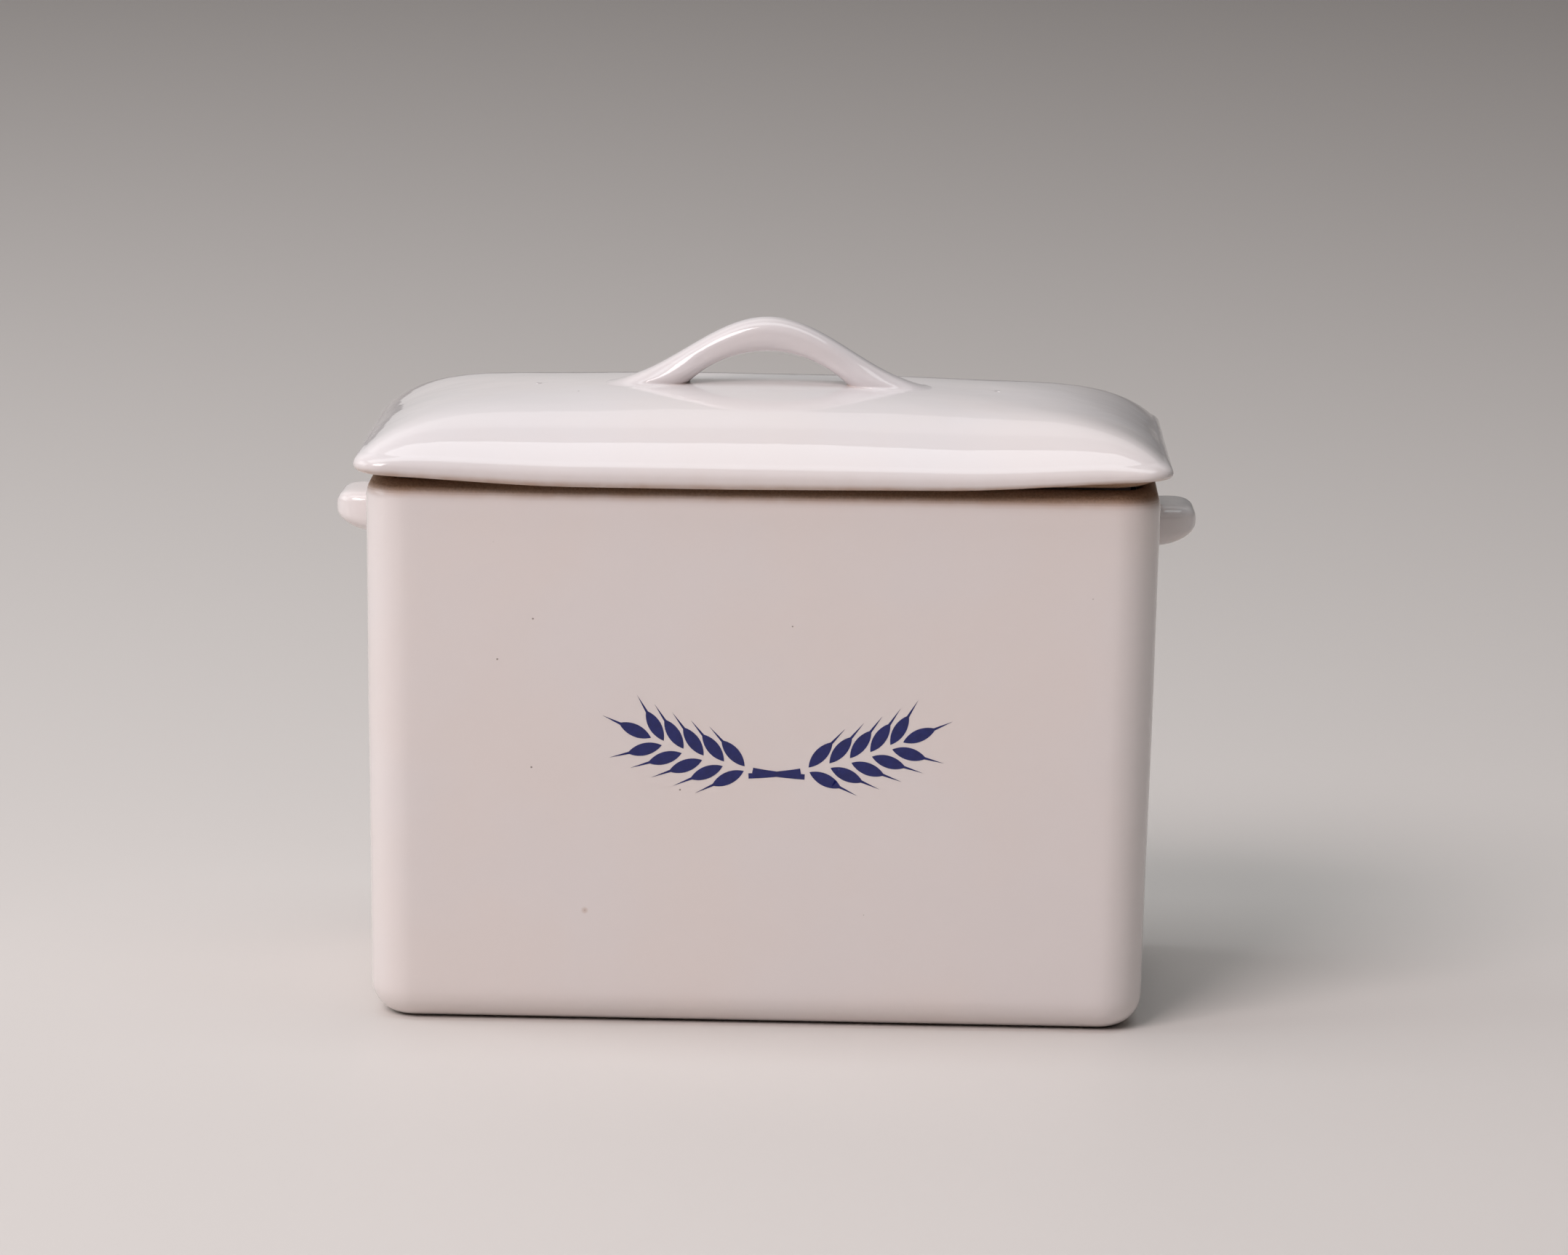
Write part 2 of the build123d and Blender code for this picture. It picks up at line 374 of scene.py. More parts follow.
def glaze(name, tint, pits=()):
    """Thick white glaze on brown clay: faint clouds, specks, thin warm edges, bare clay where wiped,
    darkened as painted shade in the gap under the lid, and brown painted shade where the thin-glaze mark
    lies under the lid's edge, under the arch and under the ears.
    """
    n = Nodes(name)
    warm = [c * k for c, k in zip(tint, WARM_CAST)] + [1]
    cool = [c * k for c, k in zip(tint, COOL_CAST)] + [1]
    clouds = n.spread(n.noise(28, detail=3, roughness=0.55), low=0.35, high=0.65)
    colour = n.mix(clouds, warm, cool)

    # this mark is thin glaze at edges and painted shade in the shaded places
    thin = n.mark("thin")
    patches = n.spread(n.noise(240, detail=3), low=0.2, high=0.75, to_low=0.55)
    thin = n.math("MULTIPLY", thin, patches)
    colour = n.mix(n.math("MULTIPLY", thin, THIN_GLAZE_AND_SHADE_SHARE), colour, THIN_GLAZE_AND_SHADE_COLOUR)

    cells = n.add("ShaderNodeTexVoronoi", {"Vector": n.place, "Scale": SPECK_CELLS})
    pick = n.add("ShaderNodeSeparateColor", {"Color": cells.outputs["Color"]}).outputs[0]
    chosen = n.spread(pick, *SPECK_CHOSEN)
    spot = n.spread(cells.outputs["Distance"], *SPECK_RADIUS, to_low=1.0, to_high=0.0)
    speck = n.math("MULTIPLY", spot, chosen)
    colour = n.mix(n.math("MULTIPLY", speck, SPECK_SHARE), colour, SPECK_COLOUR)

    for place in pits:
        reach = n.add("ShaderNodeVectorMath", {0: n.place, 1: place}, operation="DISTANCE")
        reach = reach.outputs["Value"]
        halo = n.spread(reach, *PIT_HALO_RADIUS, to_low=PIT_HALO_SHARE, to_high=0.0)
        colour = n.mix(halo, colour, THIN_GLAZE_AND_SHADE_COLOUR)
        pit = n.spread(reach, *PIT_RADIUS, to_low=1.0, to_high=0.0)
        colour = n.mix(n.math("MULTIPLY", pit, PIT_SHARE), colour, PIT_COLOUR)
        speck = n.math("MAXIMUM", speck, pit)

    # times one only to keep the smoothed mark between 0 and 1
    bare = n.math("MULTIPLY", n.mark("bare"), 1.0, clamp=True)
    grain = n.noise(2600, detail=4, roughness=0.65)
    # the bare clay colour is partly painted shade, darkened for the gap under the lid
    clay_and_shade = n.mix(n.spread(grain, low=0.3, high=0.7), CLAY_AND_SHADE_DARK, CLAY_AND_SHADE_LIGHT)
    colour = n.mix(bare, colour, clay_and_shade)
    n.put(colour, n.shader.inputs["Base Color"])

    gloss = n.spread(n.noise(420, detail=3), 0.3, 0.7, *GLAZE_ROUGHNESS)
    gloss = n.math("ADD", gloss, n.math("MULTIPLY", thin, THIN_ROUGHNESS))
    rough = n.math("ADD", gloss, n.math("MULTIPLY", bare, BARE_ROUGHNESS))
    n.put(rough, n.shader.inputs["Roughness"])
    n.shader.inputs["IOR"].default_value = GLAZE_IOR

    flow = n.bump(n.noise(95, detail=2, roughness=0.4), distance=0.00022, strength=0.4)
    smooth = n.math("SUBTRACT", 1.0, speck)
    pinholes = n.bump(smooth, distance=0.00012, strength=0.6, normal=flow)
    bare_grain = n.math("MULTIPLY", grain, bare)
    surface = n.bump(bare_grain, distance=0.00010, strength=0.8, normal=pinholes)
    n.put(surface, n.shader.inputs["Normal"])
    return n.material


def transfer_ink():
    """Dark blue ceramic transfer: nearly even, a little thinner and duller in patches."""
    n = Nodes("blue_transfer")
    patches = n.spread(n.noise(900, detail=4, roughness=0.6), low=0.3, high=0.72)
    n.put(n.mix(patches, INK_DARK, INK_LIGHT), n.shader.inputs["Base Color"])
    dullness = n.spread(n.noise(1500, detail=3), 0.25, 0.75, *INK_ROUGHNESS)
    n.put(dullness, n.shader.inputs["Roughness"])
    grain = n.bump(n.noise(1100, detail=3), distance=0.00003, strength=0.5)
    n.put(grain, n.shader.inputs["Normal"])
    return n.material


# ------------------------------------------------------------------ bin body


def bin_half(z):
    """Half width and half depth of the drafted outside at a height."""
    fall = (BIN_HEIGHT - RIM_OUTER_RISE - z) * DRAFT
    return bin_high[0] - fall, bin_high[1] - fall


def wall_sway(x, y, z, normals):
    """How far a cast wall stands out from its flat: a shallow hollow in each side and slow waves."""
    hollow = np.sin(np.pi * np.clip(z / BIN_HEIGHT, 0, 1))
    across, along = 1 - (x / bin_high[0]) ** 2, 1 - (y / bin_high[1]) ** 2
    waves = wave(x, 0.061, 0.9) * wave(z, 0.083, 0.4) + np.sin(0.11 * y - 0.07 * z + 2.0)
    sway = -hollow * (WALL_BOW * across * normals[:, 1] ** 2 + END_BOW * along * normals[:, 0] ** 2)
    return sway + WALL_WAVE * waves * hollow


def bin_ring(inset, z, radius):
    """A level ring of the bin, in from its drafted outside."""
    half_x, half_y = bin_half(z)
    outline, normals = rounded_outline(half_x - inset, half_y - inset, radius)
    outline = outline + normals * wall_sway(outline[:, 0], outline[:, 1], z, normals)[:, None]
    return np.column_stack([outline, np.full(len(outline), z)])


def front_wall_y(x, z):
    """Where the outside of the front wall is."""
    normals = np.broadcast_to((0.0, -1.0), (len(x), 2))
    half_y = bin_half(z)[1]
    return -half_y - wall_sway(x, -half_y, z, normals)


def end_wall_x(y, z):
    """Where the outside of the right end wall is."""
    normals = np.broadcast_to((1.0, 0.0), (len(y), 2))
    half_x = bin_half(z)[0]
    return half_x + wall_sway(half_x, y, z, normals)


def wiped_at_rim(z, depths):
    """How bare the clay is at a height: not at the first depth under the top, fully at the second."""
    return float(ease(z, BIN_HEIGHT - depths[0], BIN_HEIGHT - depths[1]))


def make_bin_body(material):
    skin = Skin(CORNER_STEPS + LONG_STEPS, CORNER_STEPS + SHORT_STEPS)
    for inset, z, bare in FOOT_PROFILE:
        skin.ring(bin_ring(inset, z, SHARPEST_CORNER), bare=bare)
    base_ring = skin.first
    for turn in quarter(BASE_EDGE_STEPS):
        inset = BASE_EDGE_RADIUS * (1 - math.sin(turn))
        z = BASE_EDGE_RADIUS * (1 - math.cos(turn))
        radius = max(CORNER_RADIUS - inset, SHARPEST_CORNER)
        wiped = float(1 - ease(z, *FOOT_WIPED))
        skin.ring(bin_ring(inset, z, radius), bare=wiped, thin=FOOT_THIN * wiped)
    shoulder = BIN_HEIGHT - RIM_OUTER_RISE
    for z in np.linspace(BASE_EDGE_RADIUS, shoulder, WALL_STEPS)[1:-1]:
        skin.ring(bin_ring(0.0, z, CORNER_RADIUS))
    # the outer rounding of the rim, brown where the lid's edge shades it: painted shade
    for turn in quarter(RIM_OUTER_STEPS):
        inset = RIM_OUTER_INSET * (1 - math.cos(turn))
        z = shoulder + RIM_OUTER_RISE * math.sin(turn)
        thin = float(ease(math.sin(turn), *RIM_THIN_AND_SHADE))
        wiped = wiped_at_rim(z, RIM_BARE_AND_SHADE_OUTSIDE)
        skin.ring(bin_ring(inset, z, CORNER_RADIUS - inset), bare=wiped, thin=thin)
    for turn in quarter(RIM_INNER_STEPS):
        inset = WALL - RIM_INNER_RADIUS * (1 - math.sin(turn))
        z = BIN_HEIGHT - RIM_INNER_RADIUS * (1 - math.cos(turn))
        radius = CAVITY_CORNER_RADIUS - RIM_INNER_CORNER_SHARE * (WALL - inset)
        wiped = wiped_at_rim(z, RIM_WIPED_INSIDE)
        skin.ring(bin_ring(inset, z, radius), bare=wiped, thin=math.cos(turn))
    cavity_top, cavity_bottom = BIN_HEIGHT - RIM_INNER_RADIUS, FLOOR + FLOOR_RADIUS
    for z in np.linspace(cavity_top, cavity_bottom, CAVITY_STEPS)[1:]:
        skin.ring(bin_ring(WALL, z, CAVITY_CORNER_RADIUS))
    for turn in quarter(FLOOR_EDGE_STEPS)[1:]:
        inset = FLOOR_RADIUS * (1 - math.cos(turn))
        z = FLOOR + FLOOR_RADIUS * (1 - math.sin(turn))
        skin.ring(bin_ring(WALL + inset, z, max(CAVITY_CORNER_RADIUS - inset, SHARPEST_CORNER)))
    skin.cap(skin.last)
    skin.cap(base_ring, flip=True)
    return skin.build("bin_body_glazed", "bin", "bin_glaze", material, "bin_body")


# ------------------------------------------------------------------ lid


def side_pull(x, y):
    """How far the ends and the long sides of the lid are drawn in."""
    end = LID_END_PULL * (1 - (y / lid_high[1]) ** 2)
    return end, LID_SIDE_PULL * (1 - (x / lid_high[0]) ** 2)


def corner_lift(x, y):
    """How far the corners of the lid have warped up."""
    front = LIFT_LEFT + (LIFT_RIGHT - LIFT_LEFT) * ease(x, -LIFT_TURNOVER, LIFT_TURNOVER)
    amount = front + (LIFT_BACK - front) * np.clip(0.5 + 0.5 * y / lid_high[1], 0, 1)
    return amount * ease(abs(x), *LIFT_REACH)


def lid_top_z(x, y):
    """Height of the top of the lid: steep shoulders, soft hips and a gentle crown."""
    pull_x, pull_y = side_pull(x, y)
    from_end = np.clip(lid_high[0] - pull_x - abs(x), 0, None)
    from_side = np.clip(lid_high[1] - pull_y - abs(y), 0, None)
    end = np.exp(-from_end / SLOPE_REACH_END)
    side = np.exp(-from_side / SLOPE_REACH_SIDE)
    shoulder = SLOPE_RISE * (1 - (end**HIP_POWER + side**HIP_POWER) ** (1 / HIP_POWER))
    crown = CROWN * (1 - (x / lid_high[0]) ** 2) * (1 - (y / lid_high[1]) ** 2)
    waves = LID_WAVE * wave(x, 0.15, 1.1) * wave(y, 0.21, 0.6) * (1 - side)
    return SLOPE_START_Z + shoulder + crown + corner_lift(x, y) + waves


def lid_ring(inset, radius, z=None, follow=1.0):
    """A ring of the lid, on its top where no height is given, else level but for the warp."""
    outline, normals = rounded_outline(lid_high[0] - inset, lid_high[1] - inset, radius)
    pull_x, pull_y = side_pull(*outline.T)
    pull = pull_x * normals[:, 0] ** 2 + pull_y * normals[:, 1] ** 2
    outline = outline - normals * (pull * follow)[:, None]
    x, y = outline.T
    height = lid_top_z(x, y) if z is None else z + follow * corner_lift(x, y)
    return np.column_stack([outline, height])


def lip_ring(inset, up, sag=1.0, follow=1.0):
    """A ring round the lower edge of the lid, from its lowest line, up 0, to its widest, up 1."""
    ring = lid_ring(inset, LID_CORNER_RADIUS, SEAT_Z, follow)
    x, y = ring[:, 0], ring[:, 1]
    left_share = 1 - SAG_LEFT_LOSS * ease(-x, *SAG_LEFT)
    hang = LIP_SAG * (1 - ease(x, *SAG_FADE)) * left_share * ease(abs(y), *SAG_SIDES)
    ring[:, 2] += up * (EDGE_LOWER_RADIUS + LIP_FULLNESS * hang) - sag * hang
    return ring


def flange_ring(inset, z, radius):
    """A level ring of the flange or of the hollow, in from the outside of the flange."""
    outline, _ = rounded_outline(FLANGE_HALF[0] - inset, FLANGE_HALF[1] - inset, radius)
    return np.column_stack([outline, np.full(len(outline), z)])


def add_lid_edge(skin):
    """The rounding of the edge, from the slope to the widest line and down to the lowest."""
    slope_z = skin.points[-1][:, 2:]
    for turn in np.linspace(EDGE_TILT, math.pi / 2, EDGE_UPPER_POINTS)[1:]:
        inset = EDGE_INSET * (1 - math.sin(turn)) / (1 - math.sin(EDGE_TILT))
        ring = lip_ring(inset, 1.0)
        ring[:, 2:] = slope_z + (ring[:, 2:] - slope_z) * (1 - math.cos(turn) / math.cos(EDGE_TILT))
        skin.ring(ring, thin=EDGE_THIN * ease(turn, EDGE_TILT, math.pi / 2))
    # down the lower rounding the thin-glaze colour is painted shade under the lip
    for turn in quarter(EDGE_LOWER_STEPS)[1:]:
        wiped = float(ease(turn, *EDGE_WIPED))
        thin = EDGE_THIN + (1 - EDGE_THIN) * ease(turn, 0.0, EDGE_THIN_AND_SHADE_BY)
        ring = lip_ring(EDGE_LOWER_INSET * (1 - math.cos(turn)), 1 - math.sin(turn))
        skin.ring(ring, thin=thin, bare=wiped)


def make_lid(material):
    skin = Skin(CORNER_STEPS + LONG_STEPS, CORNER_STEPS + SHORT_STEPS)
    for inset in TOP_INSETS:
        skin.ring(lid_ring(inset, LID_CORNER_RADIUS + TOP_CORNER_GROWTH * inset))
    crown_ring = skin.first
    add_lid_edge(skin)
    for inset in SEAT_INSETS:
        sag, follow = 1 - ease(inset, *SEAT_SAG_FADE), 1 - ease(inset, *SEAT_WARP_FADE)
        skin.ring(lip_ring(inset, 0.0, sag, follow), bare=1.0)
    for inset, z, bare in FLANGE_PROFILE:
        skin.ring(flange_ring(inset, z, FLANGE_CORNER), bare=bare)
    ceiling = lid_high[2] - LID_WALL
    for turn in quarter(HOLLOW_STEPS)[1:]:
        inset = FLANGE_THICKNESS + HOLLOW_SHOULDER * (1 - math.cos(turn))
        rise = (ceiling - SEAT_Z - HOLLOW_START) * math.sin(turn) ** HOLLOW_FULLNESS
        radius = FLANGE_CORNER + HOLLOW_CORNER_GROWTH * math.sin(turn)
        skin.ring(flange_ring(inset, SEAT_Z + HOLLOW_START + rise, radius))
    skin.cap(skin.last)
    skin.cap(crown_ring, height=lid_top_z, flip=True)
    skin.turn_over()
    return skin.build("lid_glazed", "lid", "lid_glaze", material, "lid")


# ------------------------------------------------------------------ strap handle on the lid

STRAP_AROUND = 64  # points in each ring round the strap
STRAP_ALONG = 48  # rings from the crown to each foot
STRAP_SQUARENESS = 2.7  # how square its section is; 2 is an oval
STRAP_THICKNESS = 5.6
STRAP_HALF_DEPTH = strap_high[1]
FOOT_HALF_DEPTH = STRAP_HALF_DEPTH + 0.8
FOOT_DEEPENS = (0.45, 0.95)  # shares of the way from the crown to the toe
TOE_NARROWS = (0.35, 0.95)
TOE_NARROWING = 0.35
OPENING_HALF = 13.2
SLOPE_HALF = 30.6  # where the top of the strap would run out level with the lid
SLOPE_FULLNESS = 1.2
# the glaze fillet round each foot, under the arch, at the sides and at the toe
FILLET_RISE = (0.35, 0.7, 1.2)  # height above the lid where it starts
FILLET_OUT = (0.45, 1.3, 2.1)
FILLET_STEPS = 10
FILLET_SINK = 0.03  # how far the thin edge of the fillet lies in the lid
EMBED, EMBED_INSET = 0.35, 0.2  # how deep a foot goes on into the lid, and how far it draws in there
CREVICE_SHADE, CREVICE_POWER = 0.9, 4  # brown under the arch, where a foot meets the lid: painted shade in the crevice
SEARCH_STEPS = 40
HEADING_STEP = 0.01  # share of the way that gives the direction the strap comes down in


def outer_curve(share):
    """The top of the strap, S-shaped, from the crown, share 0, to beyond the toe, share 1."""
    x = SLOPE_HALF * share
    fall = ((1 + np.cos(np.pi * share)) / 2) ** SLOPE_FULLNESS
    return x, lid_top_z(x, 0.0) + (strap_high[2] - lid_top_z(0.0, 0.0)) * fall


def inner_curve(share):
    """The underside of the arch, an arc, from its crown, share 0, to the lid, share 1."""
    top = strap_high[2] - STRAP_THICKNESS
    height = top - lid_top_z(0.0, 0.0)
    radius = (OPENING_HALF**2 + height**2) / (2 * height)
    turn = share * math.asin(OPENING_HALF / radius)
    return radius * np.sin(turn), top - radius * (1 - np.cos(turn))


def squared(value, power):
    """Turns the sine or cosine of a circle into that of a squarer one; power 2 changes nothing."""
    return np.sign(value) * np.abs(value) ** (2 / power)


def strap_ring(share, turn):
    """A ring round the strap; share may differ from point to point."""
    c = squared(np.cos(turn), STRAP_SQUARENESS)
    s = squared(np.sin(turn), STRAP_SQUARENESS)
    (out_x, out_z), (in_x, in_z) = outer_curve(share), inner_curve(share)
    depth = STRAP_HALF_DEPTH + (FOOT_HALF_DEPTH - STRAP_HALF_DEPTH) * ease(share, *FOOT_DEEPENS)
    depth = depth * (1 - TOE_NARROWING * ease(share, *TOE_NARROWS) * np.clip(c, 0, 1) ** 2)
    x = (out_x + in_x) / 2 + (out_x - in_x) / 2 * c
    z = (out_z + in_z) / 2 + (out_z - in_z) / 2 * c
    return np.column_stack([x, depth * s, z])


def outward(ring):
    """Level directions pointing out of a ring seen from above."""
    along = np.roll(ring, -1, 0) - np.roll(ring, 1, 0)
    side = np.column_stack([along[:, 1], -along[:, 0], np.zeros(len(ring))])
    side = side / np.linalg.norm(side, axis=1)[:, None]
    inward = np.sum(side * (ring - ring.mean(0)), 1).sum() < 0
    return -side if inward else side


def clearance(ring):
    """Height of the points of a ring over the lid."""
    return ring[:, 2] - lid_top_z(ring[:, 0], ring[:, 1])


def last_share(turn, rise):
    """How far the strap runs at each point round it before it is only the rise above the lid."""
    low, high = np.full(STRAP_AROUND, 0.5), np.full(STRAP_AROUND, 1.0)
    for _ in range(SEARCH_STEPS):
        middle = (low + high) / 2
        above = clearance(strap_ring(middle, turn)) > rise
        low, high = np.where(above, middle, low), np.where(above, high, middle)
    return (low + high) / 2


def half_strap():
    """Rings from the crown to the right foot, its fillet and its hidden end, each with its painted shade
    in the crevice under the arch.
    """
    turn = 2 * np.pi * np.arange(STRAP_AROUND) / STRAP_AROUND
    last = last_share(turn, np.interp(np.cos(turn), (-1, 0, 1), FILLET_RISE))
    out = np.interp(np.cos(turn), (-1, 0, 1), FILLET_OUT)[:, None]

    start = strap_ring(last, turn)
    heading = start - strap_ring(last - HEADING_STEP, turn)
    heading = heading / -heading[:, 2:]
    corner = start + heading * clearance(start)[:, None]
    corner[:, 2] = lid_top_z(corner[:, 0], corner[:, 1])
    edge = corner + outward(corner) * out
    edge[:, 2] = lid_top_z(edge[:, 0], edge[:, 1]) - FILLET_SINK
    under = edge - outward(corner) * EMBED_INSET - (0, 0, EMBED)

    crevice = np.clip(-np.cos(turn), 0, 1) ** CREVICE_POWER
    half = [(strap_ring(last * share, turn), 0.0) for share in np.linspace(0, 1, STRAP_ALONG + 1)]
    for t in np.linspace(0, 1, FILLET_STEPS + 1)[1:]:
        curve = (1 - t) ** 2 * start + 2 * t * (1 - t) * corner + t**2 * edge
        half.append((curve, CREVICE_SHADE * crevice * math.sin(t * math.pi)))
    return half + [(under, 0.0)]


def make_handle(material):
    half = half_strap()
    skin = Skin(STRAP_AROUND // 4, STRAP_AROUND // 4)
    for ring, thin in half[::-1]:
        skin.ring(ring * (-1, 1, 1), thin=thin)
    for ring, thin in half[1:]:
        skin.ring(ring, thin=thin)
    skin.cap(skin.last)
    skin.cap(skin.first, flip=True)
    skin.turn_over()
    name = "lid_handle_glazed"
    return skin.build(name, "lid", "handle_glaze", material, "lid_handle", smooth_levels=0)


# ------------------------------------------------------------------ ears on the end walls

EAR_AROUND = 64
EAR_OUT = ear_high[0] - (bin_high[0] - 0.15)
EAR_HALF_LENGTH = ear_high[1]
EAR_TOP, EAR_BOTTOM = ear_high[2], ear_low[2]
EAR_BELLY = EAR_TOP - 3.4  # height of its furthest point
EAR_FILLET = 0.55
EAR_FILLET_POINTS = 7
EAR_FILLET_REACH = 0.02  # share of the ear's reach that its fillet takes up
EAR_DRAWN_IN = 0.35  # share of the fillet by which the ear's root is slimmer than its CAD node
EAR_ROOT_DEPTH, EAR_ROOT_DRAWN_IN = 0.9, 0.2  # its hidden end in the wall
EAR_FILLET_SINK = 0.04
EAR_SQUARENESS = (4.6, 3.4)  # its top is flatter, with a tighter edge, than its underside
# two powers each for how its upper height, lower height and half length fall off to the tip
EAR_FALL_OFF = ((5.0, 1 / 2.6), (1.6, 0.55), (3.2, 1 / 3.2))
EAR_ANGLES = np.linspace(0.14, 0.475 * math.pi, 22)  # the sine is the share of its reach
# brown put on each ear's underside, at its root and along its lower lip: painted shade
EAR_ROOT_SHADE, EAR_LIP_SHADE, EAR_LIP = 0.5, 0.75, (0.15, 0.6)


def ear_section(out):
    """Upper and lower height and half length of an ear, as shares of its root, at a share of its reach."""
    return [(1 - out**power) ** root for power, root in EAR_FALL_OFF]


def make_ear(name, node, side, material):
    turn = 2 * np.pi * np.arange(EAR_AROUND) / EAR_AROUND
    c, s = np.cos(turn), np.sin(turn)
    power = np.where(s > 0, *EAR_SQUARENESS)
    across, upright = squared(c, power), squared(s, power)
    underside = np.clip(-s, 0, 1)

    def section(out, grow=0.0):
        upper, lower, length = ear_section(out)
        y = (EAR_HALF_LENGTH * length + grow) * across
        reach = np.where(s > 0, (EAR_TOP - EAR_BELLY) * upper, (EAR_BELLY - EAR_BOTTOM) * lower)
        z = EAR_BELLY + (reach + grow) * upright
        return y, z

    skin = Skin(EAR_AROUND // 4, EAR_AROUND // 4)

    def add(out, y, z, thin=0.0):
        x = end_wall_x(y, z) + out
        skin.ring(np.column_stack([side * x, y, z]), thin=thin)

    add(-EAR_ROOT_DEPTH, *section(0.0, EAR_FILLET - EAR_ROOT_DRAWN_IN))
    for t in np.linspace(0, 1, EAR_FILLET_POINTS):
        flare = EAR_FILLET * (1 - math.sin(t * math.pi / 2))
        out = EAR_FILLET * (1 - math.cos(t * math.pi / 2)) - EAR_FILLET_SINK
        # painted shade under the ear's root
        thin = EAR_ROOT_SHADE * (1 - t) * underside
        add(out, *section(EAR_FILLET_REACH * t, flare - EAR_FILLET * EAR_DRAWN_IN), thin=thin)
    for angle in EAR_ANGLES:
        share = math.sin(angle)
        lip = underside**2 * ease(share, *EAR_LIP)
        grow = -EAR_FILLET * EAR_DRAWN_IN * (1 - share)
        add(EAR_OUT * share, *section(share, grow), thin=EAR_LIP_SHADE * lip)
    skin.cap(skin.last)
    skin.cap(skin.first, flip=True)
    if side < 0:
        skin.turn_over()
    return skin.build(name, "bin", "ear_glaze", material, node)


# ------------------------------------------------------------------ printed motif

INK_PROUD = 0.03  # how far the ink stands out of the wall
INK_UNDER = 0.25  # how deep its closed back goes into the wall
WELD_DISTANCE = 0.001


def make_motif(material):
    """The printed wheat motif: its outlines as a film that lies on the front wall."""
    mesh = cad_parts["front_motif"].data.copy()
    mesh.name = "front_motif_ink"
    mesh.materials.clear()
    mesh.materials.append(material)
    places = np.zeros(len(mesh.vertices) * 3)
    mesh.vertices.foreach_get("co", places)
    places = places.reshape(-1, 3) / MM
    x, y, z = places.T
    outside = y < -bin_half(z)[1]
    places[:, 1] = front_wall_y(x, z) + np.where(outside, -INK_PROUD, INK_UNDER)
    mesh.vertices.foreach_set("co", (places * MM).ravel())
    shape = bmesh.new()
    shape.from_mesh(mesh)
    bmesh.ops.remove_doubles(shape, verts=shape.verts, dist=WELD_DISTANCE * MM)
    shape.to_mesh(mesh)
    shape.free()
    mesh.update()
    piece = bpy.data.objects.new("front_motif_ink", mesh)
    bpy.context.scene.collection.objects.link(piece)
    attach(piece, "bin")
    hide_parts("front_motif")


# ------------------------------------------------------------------ making the object

BIN_TINT, EAR_TINT = (0.80, 0.745, 0.73), (0.79, 0.74, 0.73)
# the handle has the lid's glaze; its tint is darker only as painted shade
LID_TINT, SHADED_HANDLE_TINT = (0.80, 0.76, 0.76), (0.75, 0.71, 0.715)
PINHOLE = (-0.0282, -0.0342, 0.0193)  # low on the front, in metres

bin_glaze = glaze("bin_glaze", BIN_TINT, pits=(PINHOLE,))
ear_glaze = glaze("ear_glaze", EAR_TINT)
lid_glaze = glaze("lid_glaze", LID_TINT)
handle_glaze = glaze("handle_glaze", SHADED_HANDLE_TINT)
make_bin_body(bin_glaze)
make_ear("ear_left_glazed", "side_handle_left", -1, ear_glaze)
make_ear("ear_right_glazed", "side_handle_right", 1, ear_glaze)
make_motif(transfer_ink())
make_lid(lid_glaze)
make_handle(handle_glaze)


# ------------------------------------------------------------------ floor, light, camera

GROUND_COLOUR = (0.70, 0.665, 0.635, 1)
GROUND_ROUGHNESS = 0.55
GROUND_REACH = 6.0

# name, place, target, width, height, power in watts, colour
LIGHTS = (
    ("overhead", (-0.12, -0.065, 1.25), (-0.12, -0.065, 0.1), 1.7, 0.62, 7.4, (0.93, 0.97, 1.0)),
    ("high_window", (-0.75, -1.15, 1.35), (0, 0, 0.05), 0.9, 0.8, 22.0, (1.0, 0.90, 0.905)),
    ("left_wall", (-1.75, 0.15, 0.80), (0, 0, 0.1), 1.5, 1.0, 9.5, (0.96, 0.98, 1.0)),
    ("far_ceiling", (0.0, 1.60, 1.45), (0, 1.5, 0), 3.2, 1.2, 4.0, (1.0, 0.95, 0.95)),
)
WORLD_COLOUR = (1.0, 0.96, 0.94)
WORLD_ALL_ROUND = 0.05
WORLD_BEHIND = (0.42, 0.07)  # extra behind the object, at the left and at the right
WORLD_TURN = (-0.07, 0.14)  # where it goes from one to the other
WORLD_BACKWARD = (0.3, 0.8)  # how far back a direction points where the extra starts and is full

CAMERA_PLACE = (0.02216, -1.08257, 0.26054)
CAMERA_YAW, CAMERA_PITCH, CAMERA_ROLL = -1.0, 10.446, 0.868  # in degrees
CAMERA_LENS, CAMERA_SENSOR = 150.28, 36.0
CAMERA_CLIP_END = 30


def make_floor():
    material = bpy.data.materials.new("floor")
    material.use_nodes = True
    shader = material.node_tree.nodes["Principled BSDF"]
    shader.inputs["Base Color"].default_value = GROUND_COLOUR
    shader.inputs["Roughness"].default_value = GROUND_ROUGHNESS
    mesh = bpy.data.meshes.new("floor")
    corners = [(x * GROUND_REACH, y * GROUND_REACH, 0) for x, y in ((-1, -1), (1, -1), (1, 1), (-1, 1))]
    mesh.from_pydata(corners, [], [(0, 1, 2, 3)])
    mesh.materials.append(material)
    floor = bpy.data.objects.new("floor", mesh)
    bpy.context.scene.collection.objects.link(floor)


def make_lights():
    """Soft panels: one overhead, a window high in front at the left, a left wall and a far ceiling."""
    for name, place, target, width, height, power, colour in LIGHTS:
        light = bpy.data.lights.new(name, "AREA")
        light.shape = "RECTANGLE"
        light.size, light.size_y = width, height
        light.energy = power
        light.color = colour
        holder = bpy.data.objects.new(name, light)
        holder.location = place
        holder.rotation_euler = (Vector(target) - Vector(place)).to_track_quat("-Z", "Y").to_euler()
        holder.visible_camera = False
        bpy.context.scene.collection.objects.link(holder)


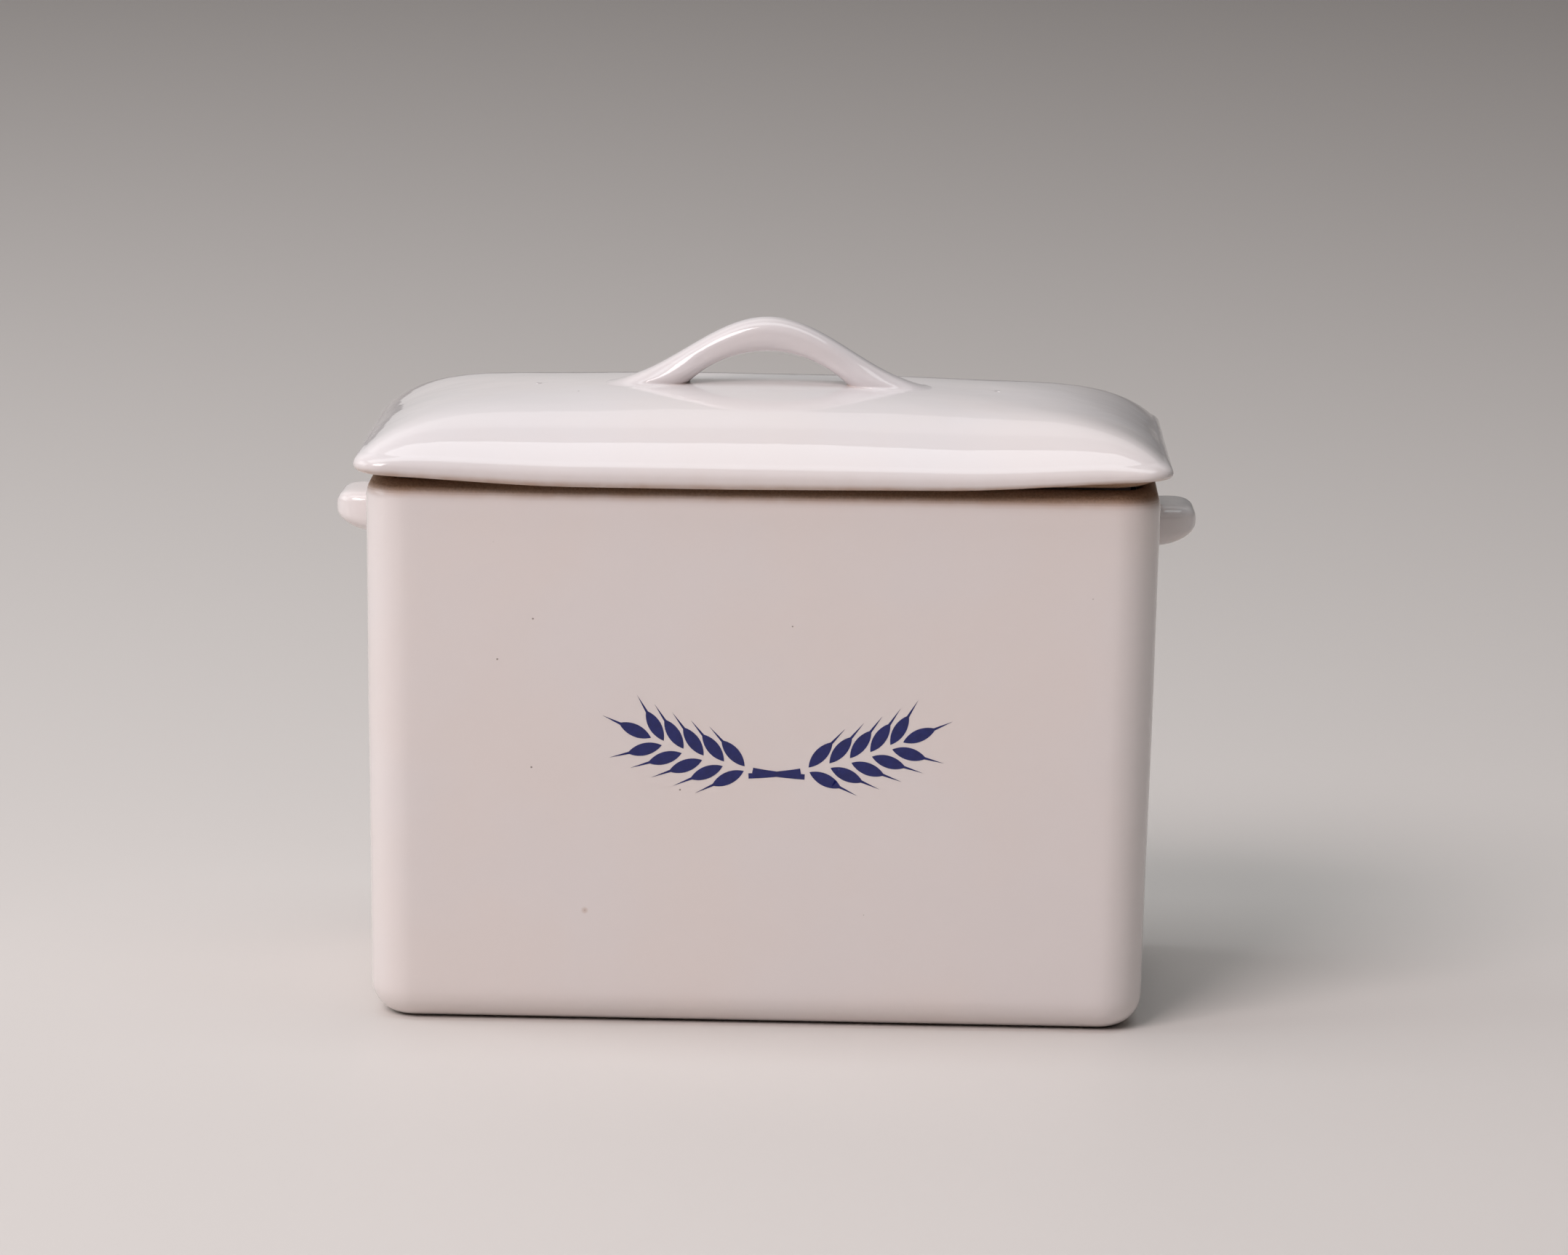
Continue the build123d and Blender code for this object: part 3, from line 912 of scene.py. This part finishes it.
def make_world():
    """A dim room that is brighter behind the object, most at the left."""
    world = bpy.data.worlds.new("studio")
    world.use_nodes = True
    tree = world.node_tree
    background = tree.nodes["Background"]
    background.inputs["Color"].default_value = (*WORLD_COLOUR, 1)
    direction = tree.nodes.new("ShaderNodeTexCoord").outputs["Generated"]
    split = tree.nodes.new("ShaderNodeSeparateXYZ")
    tree.links.new(direction, split.inputs[0])
    shares = []
    for axis, lows, highs in (("X", WORLD_TURN, WORLD_BEHIND), ("Y", WORLD_BACKWARD, (0.0, 1.0))):
        spread = tree.nodes.new("ShaderNodeMapRange")
        spread.interpolation_type = "SMOOTHSTEP"
        tree.links.new(split.outputs[axis], spread.inputs["Value"])
        for socket, value in zip(("From Min", "From Max", "To Min", "To Max"), (*lows, *highs)):
            spread.inputs[socket].default_value = value
        shares.append(spread.outputs["Result"])
    strength = tree.nodes.new("ShaderNodeMath")
    strength.operation = "MULTIPLY_ADD"
    strength.inputs[2].default_value = WORLD_ALL_ROUND
    for share, socket in zip(shares, strength.inputs):
        tree.links.new(share, socket)
    tree.links.new(strength.outputs[0], background.inputs["Strength"])
    bpy.context.scene.world = world


def make_camera():
    """A long lens in front, a little to the right and above, looking slightly down."""
    yaw, pitch, roll = (math.radians(angle) for angle in (CAMERA_YAW, CAMERA_PITCH, CAMERA_ROLL))
    ahead = math.cos(pitch)
    forward = Vector((math.sin(yaw) * ahead, math.cos(yaw) * ahead, -math.sin(pitch)))
    level = Vector((math.cos(yaw), -math.sin(yaw), 0))
    up = level.cross(forward)
    right = level * math.cos(roll) + up * math.sin(roll)
    top = up * math.cos(roll) - level * math.sin(roll)
    lens = bpy.data.cameras.new("camera")
    lens.lens, lens.sensor_width = CAMERA_LENS, CAMERA_SENSOR
    lens.clip_end = CAMERA_CLIP_END
    camera = bpy.data.objects.new("camera", lens)
    turned = Matrix((right, top, -forward)).transposed().to_4x4()
    camera.matrix_world = Matrix.Translation(CAMERA_PLACE) @ turned
    bpy.context.scene.collection.objects.link(camera)
    bpy.context.scene.camera = camera


make_floor()
make_lights()
make_world()
make_camera()
bpy.context.scene.view_settings.view_transform = "Standard"
